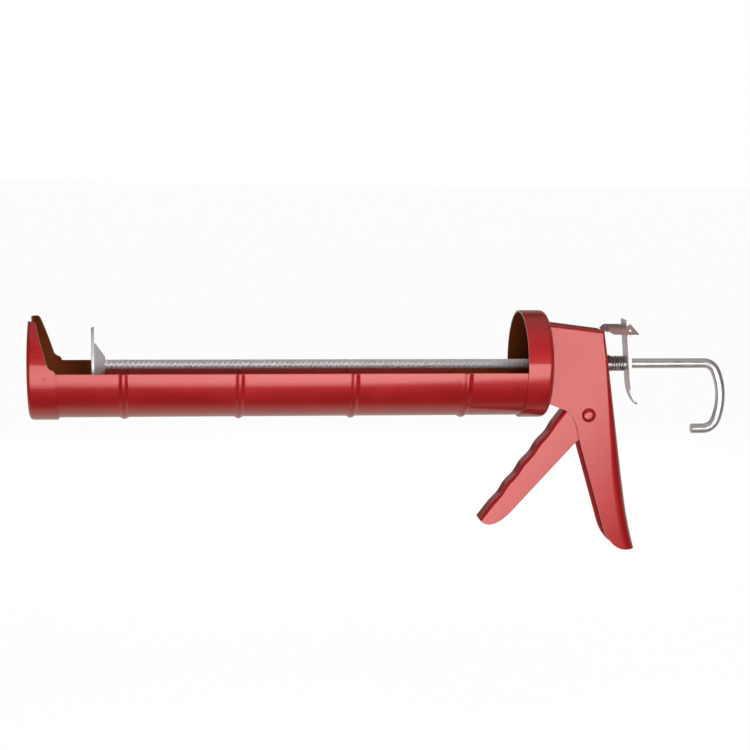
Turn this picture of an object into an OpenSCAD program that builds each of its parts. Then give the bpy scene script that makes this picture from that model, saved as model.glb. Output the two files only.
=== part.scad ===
// Half-barrel caulking gun with a toothed push rod, made of pressed and folded sheet steel.
// Frame: millimetres, +X to the rear along the rod, +Z up, origin on the rod's axis in the
// plane of the rear cap's rim.

/* [Barrel] */
// Outside diameter of the half-round cradle
barrel_od = 67.2; // [66:0.1:67.2]
// Thickness of the cradle's sheet
barrel_sheet = 1; // [0.8:0.1:1.2]
// Distance from the rear cap's rim to the front cap's face
barrel_length = 314.5; // [300:0.5:330]
// Number of raised stiffening beads
bead_count = 4; // [2:1:5]
// Spacing of the beads
bead_pitch = 72.3; // [60:0.1:75]
// Distance from the rear cap's rim to the rearmost bead
bead_last = 38.6; // [30:0.1:45]
// Height of a bead
bead_height = 1.3; // [0.8:0.1:1.8]
// Width of a bead
bead_width = 7; // [5:0.5:10]
// How far the cradle's edges lie below the rod's axis
edge_drop = 1.6; // [0:0.1:4]

/* [Caps] */
// Outside diameter of both caps
cap_od = 70; // [70:0.1:72]
// Thickness of the caps' sheet
cap_sheet = 1.2; // [1:0.1:1.2]
// Depth of the rear cap
rear_cap_depth = 17; // [17:0.1:17]
// Depth of the front cap
front_cap_depth = 17.8; // [16:0.1:20]
// Height of the front cap's ears above the rod's axis
ear_height = 29.3; // [26:0.1:31]
// Width of the slot for the nozzle
nozzle_slot_w = 27; // [22:0.5:30]

/* [Handle] */
// Outside width of the folded handle
handle_w = 18.8; // [18.8:0.1:20]
// Thickness of the handle's and trigger's sheet
handle_sheet = 1.2; // [1:0.1:1.2]
// Outside width of the trigger
trigger_w = 15.6; // [15:0.1:15.6]
// Depth of the finger grooves
groove_depth = 0.9; // [0.5:0.1:1.2]
// Diameter of the domed rivet heads
rivet_head_d = 9.4; // [8:0.1:11]

/* [Rod] */
// Diameter of the rod
rod_d = 6.35; // [6:0.05:6.35]
// Pitch of the teeth
tooth_pitch = 3.34; // [3:0.01:4]
// Depth of the teeth
tooth_depth = 1.3; // [0.8:0.1:1.6]
// Diameter of the plunger disc
disc_d = 47.6; // [44:0.1:56]
// Length of the rod's straight end inside the hook
hook_stub = 8.3; // [5:0.1:14]

/* [Release] */
// Width of the release lever
lever_w = 13.8; // [12:0.1:13.8]
// Outside width of the bracket
bracket_w = 18; // [18:0.1:18.8]
// Outside diameter of the release spring
release_spring_d = 10.2; // [9.6:0.1:10.8]

/* [Hidden] */

$fn = 96;
run_gap = 0.05;                         // radial clearance of a running fit
fix_gap = 0.03;                         // radial clearance of a fixed piece in its hole
red = [0.70, 0.10, 0.11];
zinc = [0.72, 0.72, 0.75];
steel = [0.55, 0.55, 0.57];

cap_r = cap_od / 2;
front_corner = 2.6;                     // rounding where a cap's face meets its wall
rear_corner = 3.5;
barrel_r = barrel_od / 2;
front_x = -barrel_length;               // outer face of the front cap
back_x = rear_cap_depth;                // outer face of the rear cap
rod_r = rod_d / 2;
rod_bore = rod_r + run_gap;

bush_r = 6.4;                           // bush that joins the rear cap to the handle
bush_flange = 1.2;
cap_rivet_z = 16.5;
cap_rivet_r = 2.4;

pivot = [46.3, -33.1];                  // trigger's pivot, [x, z]
pivot_r = 2.5;
sleeve_r = 4;
trigger_lean = 37.15;                   // how far the trigger leans forward of straight down
trig_dir = [-sin(trigger_lean), -cos(trigger_lean)];
trig_rear = [cos(trigger_lean), -sin(trigger_lean)];
trigger_front = -14.4;                  // front face of the trigger, measured behind the pivot
trigger_tip = 99.5;                     // length of the trigger below the pivot
groove_count = 4;
groove_pitch = 17.1;
groove_start = 17.4;

pawl_arm = 18;                          // distance of the pawl's pin from the trigger's pivot
pawl_lean = 21;                         // the pin's angle behind the vertical, at rest
pawl_at = [pivot[0] + pawl_arm * sin(pawl_lean), pivot[1] + pawl_arm * cos(pawl_lean)];
pawl_pin_r = 2;
pawl_t = 4;

disc_back_x = -274.5;                   // rear face of the plunger disc
disc_t = 1.9;
journal_r = 2.5;                        // the rod's reduced front end, which carries the disc
play = 0.08;                            // end play of the plunger on the rod
peen_r = 3.6;                           // the rod's end, spread into the disc's countersink
peen_t = 1;
teeth_front_x = -266;
teeth_back_x = 50;
teeth_turn = 27;                        // how far the teeth are turned from straight up towards -Y

hook_start = 108;                       // where the rod's drawing is split, ahead of its bends
hook_x = 125.8;                         // where the rod's first bend starts
bend_r = 9;
bow_r = 43;
first_turn = 65;
bow_turn = 45;
last_turn = 180 - first_turn - bow_turn;
bend_thin = 0.03;                       // the wire thins slightly where it is bent tightly
bend_lap = 1;                           // degrees by which a tight bend runs on into its neighbours

lever_pin_at = [72.4, 22.9];            // [x, z]
lever_pin_r = 0.9;
lever_sheet = 1.1;
lever_lean = 5.5;                       // the lever's lean at rest, top forward
lever_top_z = 29.1;
lever_knee_z = -14;                     // where the lever starts to curl to the thumb
lever_top_x = 69.6;                     // the web's front face at the lever's top
thumb_r = 22;
thumb_turn = 39;
bracket_top_z = 25.4;
bracket_x = 55.9;
bracket_sheet = 1.2;
spring_seat_x = 61.1;
release_wire = 1.2;
release_coils = 7;

// A round arc as points, from angle a to angle b
function arc(c, r, a, b, n = 12) =
    [for (i = [0:n]) let (t = a + (b - a) * i / n) c + r * [cos(t), sin(t)]];

// A smooth corner from p to r, pulled towards q
function curve(p, q, r, n = 12) =
    [for (i = [0:n]) let (t = i / n) (1 - t) * (1 - t) * p + 2 * t * (1 - t) * q + t * t * r];

// A point on the trigger: u along it from the pivot, n behind the pivot
function on_trigger(u, n) = pivot + u * trig_dir + n * trig_rear;

// The handle's top line and its straight rear line
function handle_top(x) = 27.4 - 0.128 * (x - back_x);
function handle_rear(z) = 59.05 - 0.163 * z;

// The front face of the lever's web at height z
function lever_x(z) = lever_top_x + (lever_top_z - z) * tan(lever_lean);

// Turns a shape made along Z so that it lies along X, starting at x
module along_x(x = 0) {
    translate([x, 0, 0]) rotate([0, 90, 0]) children();
}

// Gives a side outline in [x, z] a width across the gun
module across(w, y = 0) {
    translate([0, y, 0]) rotate([90, 0, 0]) linear_extrude(w, center = true) children();
}

// A cylinder across the gun at [x, z]
module cross_pin(at, r, w, y = 0) {
    translate([at[0], y, at[1]]) rotate([90, 0, 0]) cylinder(r = r, h = w, center = true);
}

// A low dome of radius a and height h, standing on the XY plane
module dome(a, h) {
    dome_r = (a * a + h * h) / (2 * h);
    rotate_extrude() intersection() {
        translate([0, h - dome_r]) circle(r = dome_r);
        square([a, h]);
    }
}

// A rivet along Z: shank from 0 to length with a domed head beyond each end
module rivet(r, length, head_r, head_h) {
    cylinder(r = r, h = length);
    translate([0, 0, length]) dome(head_r, head_h);
    mirror([0, 0, 1]) dome(head_r, head_h);
}

// Close-wound coils round Z: turns stacked at a pitch, drawn as touching rings
module coils(mean_r, wire, pitch, count) {
    rotate_extrude() union() {
        for (i = [0:count - 1]) translate([mean_r, wire / 2 + i * pitch]) circle(r = wire / 2, $fn = 32);
        translate([mean_r - wire / 4, wire / 2]) square([wire / 2, (count - 1) * pitch]);
    }
}

// A straight piece of wire between two points
module wire_leg(a, b, d) {
    v = b - a;
    l = norm(v);
    translate(a) rotate([0, acos(v[2] / l), atan2(v[1], v[0])]) cylinder(d = d, h = l, $fn = 24);
}

// Half the section of a pressed cup round Z: closed face at 0, open at depth
module cup_section(r, sheet, depth, corner) {
    polygon(concat(
        [[0, 0]],
        arc([r - corner, corner], corner, -90, 0),
        [[r, depth], [r - sheet, depth]],
        arc([r - corner, corner], corner - sheet, 0, -90),
        [[0, sheet]]));
}

function bead_rise(d) = abs(d) < bead_width / 2 ? bead_height * (1 + cos(360 * d / bead_width)) / 2 : 0;
bead_steps = 12;
bead_line = [for (b = [bead_count - 1:-1:0], i = [0:bead_steps])
    let (d = bead_width * (i / bead_steps - 0.5)) [bead_rise(d), -bead_last - b * bead_pitch + d]];

module cradle() {
    half_angle = acos(edge_drop / barrel_r);
    ends = [front_x + front_corner + run_gap, back_x - rear_corner - run_gap];
    outside = concat([[0, ends[0]]], bead_line, [[0, ends[1]]]);
    last = len(outside) - 1;
    color(red) along_x() rotate([0, 0, -half_angle]) rotate_extrude(angle = 2 * half_angle)
        polygon(concat(
            [for (p = outside) [barrel_r + p[0], p[1]]],
            [for (i = [last:-1:0]) [barrel_r - barrel_sheet + outside[i][0], outside[i][1]]]));
}

// Everything above the front cap's ears and shoulders, as a side outline
module above_ears() {
    shoulder_r = 3.5;
    rear = front_x + front_cap_depth;
    polygon(concat(
        [[rear + 5, 60], [rear + 5, -2.2], [rear, -2.2]],
        arc([rear - shoulder_r, -2.2], shoulder_r, 0, 80, 8),
        [[front_x + 13, 2.7], [front_x + 6, ear_height - 4.2]],
        curve([front_x + 6, ear_height - 4.2], [front_x + 5, ear_height], [front_x + 3.6, ear_height], 6),
        [[front_x - 5, ear_height], [front_x - 5, 60]]));
}

// Shallow spot-weld marks on both sides of a cap, at [x, z]
module weld_marks(at) {
    mark_r = 3.2;
    for (s = [-1, 1]) translate([at[0], s * (sqrt(cap_r * cap_r - at[1] * at[1]) + mark_r - 0.45), at[1]])
        sphere(r = mark_r, $fn = 48);
}

module front_cap() {
    slot_r = nozzle_slot_w / 2;
    color(red) difference() {
        along_x(front_x) rotate_extrude() cup_section(cap_r, cap_sheet, front_cap_depth, front_corner);
        across(2 * cap_od) above_ears();
        along_x(front_x - 5) cylinder(r = slot_r, h = 12);
        translate([front_x - 5, -slot_r, 0]) cube([12, nozzle_slot_w, cap_od]);
        weld_marks([front_x + 10.1, -5.2]);
    }
}

module rear_cap() {
    color(red) difference() {
        along_x(back_x) mirror([0, 0, 1]) rotate_extrude()
            cup_section(cap_r, cap_sheet, rear_cap_depth, rear_corner);
        along_x(back_x - 5) cylinder(r = bush_r + fix_gap, h = 10);
        for (z = [-cap_rivet_z, cap_rivet_z])
            translate([0, 0, z]) along_x(back_x - 5) cylinder(r = cap_rivet_r + fix_gap, h = 10);
    }
}

handle_rear_line = concat(
    curve([54, handle_top(54)], [handle_rear(22.4), handle_top(55.4)], [handle_rear(20.4), 20.4], 6),
    curve([handle_rear(-92), -92], [77, -109], [81.6, -122.9], 8),
    [[80.8, -124.2]]);

module handle_outline() {
    polygon(concat(
        [[back_x, handle_top(back_x)]],
        handle_rear_line,
        curve([76, -124.2], [64, -122.3], [58.8, -109.1]),
        curve([40.2, -48], [37.3, -32.2], [31.4, -30.2]),
        [[back_x, -25.4]]));
}

module handle_hollow() {
    polygon(concat(
        [[back_x + handle_sheet, handle_top(back_x) - handle_sheet]],
        [for (p = handle_rear_line) p - [handle_sheet, p[1] > 20.5 ? handle_sheet : 0]],
        [[81, -135], [10, -135], [10, -60], [back_x + handle_sheet, -60]]));
}

module handle_shell() {
    inner_w = handle_w - 2 * handle_sheet;
    color(red) difference() {
        across(handle_w) handle_outline();
        across(inner_w) handle_hollow();
        along_x(back_x - 5) cylinder(r = bush_r + fix_gap, h = 10);
        for (z = [-cap_rivet_z, cap_rivet_z])
            translate([0, 0, z]) along_x(back_x - 5) cylinder(r = cap_rivet_r + fix_gap, h = 10);
        along_x(50) cylinder(r = eyelet_r + fix_gap, h = 20);
        cross_pin(pivot, pivot_r + fix_gap, 40);
        translate([50, -tongue_w / 2 - 0.1, tongue_z - 0.05])
            cube([10, tongue_w + 0.2, bracket_sheet + 0.12]);
    }
}

module rod_bush() {
    color(steel) difference() {
        union() {
            along_x(back_x - cap_sheet - bush_flange) cylinder(r = 9, h = bush_flange);
            along_x(back_x - cap_sheet - 0.5) cylinder(r = bush_r, h = cap_sheet + handle_sheet + 1);
            along_x(back_x + handle_sheet) cylinder(r1 = 7.9, r2 = 7.2, h = bush_flange);
        }
        along_x(0) cylinder(r = rod_bore, h = 40);
    }
}

eyelet_r = 4.6;
module rear_eyelet() {
    color(steel) difference() {
        union() {
            along_x(spring_seat_x - 1.1) cylinder(r = 5.6, h = 1.1);
            along_x(55) cylinder(r = eyelet_r, h = 5.5);
            along_x(54.8) cylinder(r = 5.4, h = 1);
        }
        along_x(40) cylinder(r = rod_bore, h = 40);
    }
}

module cap_rivets() {
    color(red) for (z = [-cap_rivet_z, cap_rivet_z])
        translate([0, 0, z]) along_x(back_x - cap_sheet)
            rivet(cap_rivet_r, cap_sheet + handle_sheet, 4.2, 1.7);
}

// The trigger's outline without its finger grooves
module trigger_outline() {
    head = pawl_at;
    polygon(concat(
        [on_trigger(2, trigger_front)],
        arc(head, 5.4, 200 - trigger_lean, 20 - trigger_lean, 10),
        curve(on_trigger(-8, 4), on_trigger(-4, 8.6), on_trigger(4, 8)),
        [on_trigger(20, 4.8), on_trigger(83, -1)],
        curve(on_trigger(83, -1), on_trigger(trigger_tip - 3, -3), on_trigger(trigger_tip - 1, -10.5)),
        [on_trigger(trigger_tip, trigger_front + 0.8), on_trigger(trigger_tip - 0.8, trigger_front)]));
}

// The grooves' waste: shallow waves along the trigger's front face, grown by t
function groove(u, t) = let (d = u - groove_start)
    d > 0 && d < groove_count * groove_pitch
        ? trigger_front + t + groove_depth * (1 - cos(360 * d / groove_pitch)) / 2
        : trigger_front + t;

module front_of(t) {
    step = groove_pitch / 10;
    polygon(concat(
        [for (u = [-20:step:trigger_tip + 5]) on_trigger(u, groove(u, t))],
        [on_trigger(trigger_tip + 5, trigger_front - 10), on_trigger(-20, trigger_front - 10)]));
}

module trigger() {
    inner_w = trigger_w - 2 * handle_sheet;
    color(red) difference() {
        across(trigger_w) difference() {
            trigger_outline();
            front_of(0);
        }
        across(inner_w) difference() {
            polygon([on_trigger(-40, trigger_front - 5), on_trigger(trigger_tip + 10, trigger_front - 5),
                on_trigger(trigger_tip + 10, 30), on_trigger(-40, 30)]);
            intersection() {
                front_of(handle_sheet);
                polygon([on_trigger(-1, trigger_front - 20),
                    on_trigger(trigger_tip + 10, trigger_front - 20),
                    on_trigger(trigger_tip + 10, 30), on_trigger(-1, 30)]);
            }
        }
        cross_pin(pivot, sleeve_r + run_gap, 40);
        cross_pin(pawl_at, pawl_pin_r + fix_gap, 40);
    }
}

module trigger_rivet() {
    color(red) translate([pivot[0], handle_w / 2, pivot[1]]) rotate([90, 0, 0])
        rivet(pivot_r, handle_w, rivet_head_d / 2, 2.2);
}

module pivot_sleeve() {
    length = handle_w - 2 * handle_sheet - 0.1;
    color(steel) difference() {
        cross_pin(pivot, sleeve_r, length);
        cross_pin(pivot, pivot_r + fix_gap, length + 2);
    }
}

trigger_spring_w = 8.6;
trigger_wire = 1.4;
module trigger_spring() {
    mean_r = sleeve_r + run_gap + 0.3 + trigger_wire / 2;
    y = trigger_spring_w / 2 - trigger_wire / 2;
    at = [pivot[0], 0, pivot[1]];
    web = on_trigger(22, trigger_front + handle_sheet + groove_depth + trigger_wire / 2 + 0.3);
    top = on_trigger(0, -mean_r);
    color(steel) union() {
        translate(at + [0, trigger_spring_w / 2, 0]) rotate([90, 0, 0])
            coils(mean_r, trigger_wire, (trigger_spring_w - trigger_wire) / 5, 6);
        wire_leg([top[0], y, top[1]], [web[0], y, web[1]], trigger_wire);
        wire_leg(at + [mean_r, -y, 0], [handle_rear(-50) - handle_sheet - 1.2, -y, -50], trigger_wire);
    }
}

module pawl_outline() {
    polygon(concat(
        arc(pawl_at, 4.4, 150, 390, 16),
        [pawl_at + [-1.5, 8.2], pawl_at + [-5.6, 11.8], pawl_at + [-7, 11.8], pawl_at + [-7, 9]]));
}

module drive_pawl() {
    color(steel) difference() {
        across(pawl_t) pawl_outline();
        cross_pin(pawl_at, pawl_pin_r + run_gap, 20);
    }
}

module pawl_pin() {
    color(steel) cross_pin(pawl_at, pawl_pin_r, trigger_w + 0.3);
}

pawl_wire = 0.7;
module pawl_spring() {
    mean_r = pawl_pin_r + 0.25 + pawl_wire / 2;
    start = pawl_t / 2 + 0.3;
    at = [pawl_at[0], 0, pawl_at[1]];
    color(steel) union() {
        translate(at + [0, start + 3.2, 0]) rotate([90, 0, 0]) coils(mean_r, pawl_wire, 0.62, 5);
        wire_leg(at + [-mean_r, start + 0.4, 0], at + [-mean_r - 0.9, start + 0.4, 8], pawl_wire);
        wire_leg(at + [-mean_r, start + 2.8, 0], at + [-mean_r - 5.5, start + 2.8, -4.5], pawl_wire);
    }
}

// The teeth's waste, as a side outline: each tooth rises rearwards to an upright rear face
module tooth_waste() {
    count = floor((teeth_back_x - teeth_front_x) / tooth_pitch);
    tip = rod_r - 0.12;
    root = rod_r - tooth_depth;
    polygon(concat(
        [[teeth_front_x, rod_r + 2]],
        [for (i = [0:count - 1], k = [0:1])
            [teeth_front_x + (i + k) * tooth_pitch, k == 0 ? root : tip]],
        [[teeth_front_x + count * tooth_pitch, rod_r + 2]]));
}

// One bend of the rod, turning downwards from level; centre is [x, z]
module bend(centre, r, from, turn, wire_r) {
    translate([centre[0], 0, centre[1]]) rotate([90, 0, 0])
        rotate([0, 0, 90 - from - turn]) rotate_extrude(angle = turn) translate([r, 0]) circle(r = wire_r);
}

first_c = [hook_x, -bend_r];
first_end = first_c + bend_r * [sin(first_turn), cos(first_turn)];
bow_c = first_end - bow_r * [sin(first_turn), cos(first_turn)];
bow_end = bow_c + bow_r * [sin(first_turn + bow_turn), cos(first_turn + bow_turn)];
last_c = bow_end - bend_r * [sin(first_turn + bow_turn), cos(first_turn + bow_turn)];
stub_at = last_c - [0, bend_r];

// The rod as far as hook_start; the rest of the same wire is rod_hook
module ratchet_rod() {
    nose_x = disc_back_x - disc_t;
    color(zinc) union() {
        difference() {
            along_x(disc_back_x + play) cylinder(r = rod_r, h = hook_start - disc_back_x - play);
            rotate([teeth_turn, 0, 0]) across(3 * rod_d) tooth_waste();
        }
        along_x(nose_x + peen_t / 2) cylinder(r = journal_r, h = disc_t + 1);
        along_x(nose_x) cylinder(r1 = peen_r, r2 = journal_r, h = peen_t);
    }
}

module rod_hook() {
    color(zinc) union() {
        along_x(hook_start) cylinder(r = rod_r, h = hook_x - hook_start);
        bend(first_c, bend_r, -bend_lap, first_turn + 2 * bend_lap, rod_r - bend_thin);
        bend(bow_c, bow_r, first_turn, bow_turn, rod_r);
        bend(last_c, bend_r, first_turn + bow_turn - bend_lap, last_turn + 2 * bend_lap, rod_r - bend_thin);
        translate([0, 0, stub_at[1]]) along_x(stub_at[0] - hook_stub) cylinder(r = rod_r, h = hook_stub);
    }
}

module plunger_disc() {
    rim = 1.1;
    slope = (peen_r - journal_r) / peen_t;
    color(zinc) along_x(disc_back_x - disc_t) difference() {
        rotate_extrude() polygon([[0, 0], [disc_d / 2 - 0.5, 0], [disc_d / 2, 0.5], [disc_d / 2, disc_t],
            [disc_d / 2 - rim, disc_t], [disc_d / 2 - rim - 0.6, disc_t - 0.5], [15.5, disc_t - 0.5],
            [14.6, disc_t], [0, disc_t]]);
        translate([0, 0, -1]) cylinder(r = journal_r + run_gap, h = disc_t + 2);
        translate([0, 0, -0.1])
            cylinder(r1 = peen_r + play + 0.1 * slope, r2 = journal_r + play, h = peen_t + 0.1);
    }
}

module plunger_cone() {
    depth = 6.8;
    color(zinc) along_x(disc_back_x) difference() {
        rotate_extrude() polygon(concat(
            [[12.1, 0], [13.8, 0]],
            curve([13.8, 0], [13.6, 0.7], [12.6, 1.4], 6),
            curve([6.5, 5.8], [5.4, depth], [4, depth], 6),
            [[2.9, depth], [2.9, depth - 1.3], [4.4, depth - 1.6]]));
        translate([0, 0, -1]) cylinder(r = rod_bore, h = depth + 2);
    }
}

thumb_c = [lever_x(lever_knee_z) + thumb_r * cos(lever_lean), lever_knee_z + thumb_r * sin(lever_lean)];

// The lever's web, curled to the rear at its lower end, as a side outline
module lever_web() {
    polygon(concat(
        [[lever_x(lever_top_z), lever_top_z]],
        arc(thumb_c, thumb_r, 180 + lever_lean, 180 + lever_lean + thumb_turn, 10),
        arc(thumb_c, thumb_r - lever_sheet, 180 + lever_lean + thumb_turn, 180 + lever_lean, 10),
        [[lever_x(lever_top_z) + lever_sheet, lever_top_z]]));
}

// The lever's side flanges, deepest round the pin
module lever_flange() {
    polygon([[lever_x(29), 29], [lever_x(29) + 0.4, 29], [lever_x(27) + 3.1, 27],
        [lever_x(18) + 3.6, 22], [lever_x(16) + 2.8, 16], [lever_x(-12.6) + 1.7, -12.6],
        [lever_x(-13.4) + 1.1, -13.4], [lever_x(-13.4), -13.4]]);
}

module release_lever() {
    tip_w = 10;
    color(zinc) difference() {
        union() {
            across(lever_w) intersection() {
                lever_web();
                translate([0, lever_knee_z - 2]) square([200, 100]);
            }
            across(tip_w) lever_web();
            for (s = [-1, 1]) across(lever_sheet, s * (lever_w - lever_sheet) / 2) lever_flange();
        }
        along_x(60) cylinder(r = rod_r + 0.75, h = 30);
        cross_pin(lever_pin_at, lever_pin_r + run_gap, 40);
    }
}

tongue_w = 12;
tongue_z = handle_top(bracket_x) - handle_sheet - bracket_sheet - 0.1;
ramp_x = bracket_x + 2.5;               // where the bracket's sloping front meets its top

// A bracket arm's side outline: deep under the web, hooked up and cut to a point at the rear
module bracket_arm() {
    polygon([[bracket_x, 23], [ramp_x, bracket_top_z], [70.6, bracket_top_z], [72.2, 26.5], [73, 26.4],
        [78.1, 20.6], [77.7, 20.2], [61.4, 20.2], [59.4, 21.2], [57.6, 22.7]]);
}

module release_bracket() {
    web_end = 68.6;
    color(zinc) difference() {
        union() {
            for (s = [-1, 1]) across(bracket_sheet, s * (bracket_w - bracket_sheet) / 2) bracket_arm();
            across(bracket_w) polygon([[bracket_x, 22.7], [ramp_x, bracket_top_z], [web_end, bracket_top_z],
                [web_end, bracket_top_z - bracket_sheet], [ramp_x + 0.5, bracket_top_z - bracket_sheet],
                [bracket_x + 1.1, 22.2]]);
            across(tongue_w) polygon([[44, tongue_z], [57, tongue_z], [57.2, 22.4], [bracket_x, 22.9],
                [bracket_x - 0.1, tongue_z + bracket_sheet], [44, tongue_z + bracket_sheet]]);
        }
        cross_pin(lever_pin_at, lever_pin_r + fix_gap, 40);
    }
}

module lever_pin() {
    color(zinc) translate([lever_pin_at[0], bracket_w / 2, lever_pin_at[1]]) rotate([90, 0, 0])
        rivet(lever_pin_r, bracket_w, 1.7, 0.8);
}

module release_spring() {
    mean_r = (release_spring_d - release_wire) / 2;
    length = lever_x(release_spring_d / 2) - spring_seat_x - 0.1;
    color(steel) along_x(spring_seat_x + 0.05)
        coils(mean_r, release_wire, (length - release_wire) / (release_coils - 1), release_coils);
}

cradle();
front_cap();
rear_cap();
handle_shell();
rod_bush();
rear_eyelet();
cap_rivets();
trigger();
trigger_rivet();
pivot_sleeve();
trigger_spring();
drive_pawl();
pawl_pin();
pawl_spring();
ratchet_rod();
rod_hook();
plunger_disc();
plunger_cone();
release_lever();
release_bracket();
lever_pin();
release_spring();
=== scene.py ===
"""Looks of the caulking gun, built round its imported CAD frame.

The frame has +X to the rear along the push rod, +Z up, and its origin on the rod's axis. Shapes
are written in millimetres, as [x, z] points in side view where a piece is a bent sheet, and
piece() turns them into metres.
"""
import math

import bmesh
import bpy
from mathutils import Matrix, Vector


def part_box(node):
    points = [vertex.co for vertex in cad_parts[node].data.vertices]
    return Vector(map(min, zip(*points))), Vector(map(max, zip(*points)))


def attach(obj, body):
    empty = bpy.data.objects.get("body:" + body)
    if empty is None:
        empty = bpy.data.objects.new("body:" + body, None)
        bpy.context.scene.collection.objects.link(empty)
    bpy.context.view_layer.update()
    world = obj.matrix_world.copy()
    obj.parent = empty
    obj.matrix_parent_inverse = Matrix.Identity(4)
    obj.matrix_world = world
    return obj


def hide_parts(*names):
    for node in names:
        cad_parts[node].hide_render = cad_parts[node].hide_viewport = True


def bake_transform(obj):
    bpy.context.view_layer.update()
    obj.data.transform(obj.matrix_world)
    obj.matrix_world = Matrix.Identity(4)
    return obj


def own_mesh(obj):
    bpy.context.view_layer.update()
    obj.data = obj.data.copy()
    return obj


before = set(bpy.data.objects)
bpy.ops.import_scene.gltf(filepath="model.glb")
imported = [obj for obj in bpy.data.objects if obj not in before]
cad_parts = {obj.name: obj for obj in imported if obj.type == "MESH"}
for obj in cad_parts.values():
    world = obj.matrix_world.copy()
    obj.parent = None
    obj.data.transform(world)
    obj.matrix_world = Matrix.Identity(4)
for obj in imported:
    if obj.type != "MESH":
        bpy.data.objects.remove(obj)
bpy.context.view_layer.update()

MM = 0.001


def side(node, axis, high):
    """One side of a CAD node's box, in millimetres."""
    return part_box(node)[1 if high else 0]["xyz".index(axis)] / MM


# ---------------------------------------------------------------- sizes, in millimetres
FRONT_X = side("front_cap", "x", False)
BACK_X = side("rear_cap", "x", True)
CAP_R = side("rear_cap", "y", True)
CAP_SHEET = 1.2
FRONT_CAP_DEPTH = side("front_cap", "x", True) - FRONT_X
REAR_CAP_DEPTH = BACK_X - side("rear_cap", "x", False)
EAR_Z = side("front_cap", "z", True)
SLOT_R = 13.5
FRONT_CORNER = 2.6
REAR_CORNER = 3.5

BEAD_H = 1.3
BEAD_W = 7.0
BEAD_PITCH = 72.3
BEAD_LAST = 38.6
BEADS = 4
BARREL_R = side("cradle", "y", True) - BEAD_H
BARREL_SHEET = 1.0
EDGE_DROP = 1.6

ROD_R = 3.175
JOURNAL_R = 2.5
TOOTH_PITCH = 3.34
TOOTH_DEPTH = 1.3
TOOTH_TIP_DROP = 0.12
TEETH_X = (-266.0, 50.0)
TEETH_TURN = math.radians(27)
PEEN_R = 3.6
PEEN_T = 1.0
BEND_X = 125.8
BEND_R = 9.0
BOW_R = 43.0
TURNS = (65, 45, 70)
HOOK_STUB = 8.3
DISC_X = side("plunger_disc", "x", True)
DISC_T = DISC_X - side("plunger_disc", "x", False)
DISC_R = side("plunger_disc", "y", True)
DISC_TILT = 2.4

SHEET = 1.2
HANDLE_W = 2 * side("handle_shell", "y", True)
TRIGGER_W = 2 * side("trigger", "y", True)
LEVER_W = 2 * side("release_lever", "y", True)
LEVER_SHEET = 1.1

HANDLE_TOP_Z = 27.4
HANDLE_FOLD = 2.4
SPINE_X = 56
SPINE_TOP_Z = 20.4
GRIP_BEND_Z = -92
BUSH_BORE_R = 6.43
RIVET_BORE_R = 2.43
RIVET_Z = 16.5

PIVOT = Vector((46.3, -33.1))
SLEEVE_BORE_R = 4.05
TRIGGER_LEAN = math.radians(37.15)
TRIGGER_DOWN = Vector((-math.sin(TRIGGER_LEAN), -math.cos(TRIGGER_LEAN)))
TRIGGER_REAR = Vector((math.cos(TRIGGER_LEAN), -math.sin(TRIGGER_LEAN)))
TRIGGER_FRONT = -14.4
TRIGGER_TIP = 99.5
GROOVES = 4
GROOVE_PITCH = 17.1
GROOVE_START = 17.4
GROOVE_DEPTH = 0.9
PAWL_AT = PIVOT + 18 * Vector((math.sin(math.radians(21)), math.cos(math.radians(21))))
LEVER_LEAN = math.radians(5.5)
LEVER_TOP_Z = 29.1
LEVER_PIN_AT = (72.4, 22.9)


# ---------------------------------------------------------------- node helpers
def new_material(name):
    """A material with an empty Principled shader; returns it, its tree and the shader."""
    made = bpy.data.materials.new(name)
    made.use_nodes = True
    tree = made.node_tree
    return made, tree, tree.nodes["Principled BSDF"]


def add(tree, kind, inputs=None, **settings):
    """A node of that kind; inputs sets or links its sockets by name or number."""
    node = tree.nodes.new(kind)
    for name, value in settings.items():
        setattr(node, name, value)
    for name, value in (inputs or {}).items():
        if isinstance(value, bpy.types.NodeSocket):
            tree.links.new(value, node.inputs[name])
        else:
            node.inputs[name].default_value = value
    return node


def noise(tree, where, scale, detail, roughness=0.5):
    """Noise of so many blotches a metre."""
    return add(tree, "ShaderNodeTexNoise", {"Vector": where, "Scale": scale, "Detail": detail,
                                            "Roughness": roughness}).outputs["Fac"]


def ramp(tree, value, low, high, start, end):
    """Maps value from low..high to start..end, and holds it there beyond them."""
    return add(tree, "ShaderNodeMapRange", {"Value": value, "From Min": low, "From Max": high,
                                            "To Min": start, "To Max": end}).outputs["Result"]


def blend_colour(tree, share, one, other):
    """Mixes two colours, each a colour or a socket, by share."""
    node = add(tree, "ShaderNodeMix", {"Factor": share}, data_type="RGBA")
    for number, value in ((6, one), (7, other)):
        if isinstance(value, bpy.types.NodeSocket):
            tree.links.new(value, node.inputs[number])
        else:
            node.inputs[number].default_value = (*value, 1)
    return node.outputs[2]


def times(tree, one, other):
    return add(tree, "ShaderNodeMath", {0: one, 1: other}, operation="MULTIPLY").outputs[0]


def bump(tree, height, distance, below=None):
    inputs = {"Height": height, "Distance": distance, "Strength": 1.0}
    if below:
        inputs["Normal"] = below
    return add(tree, "ShaderNodeBump", inputs).outputs["Normal"]


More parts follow.
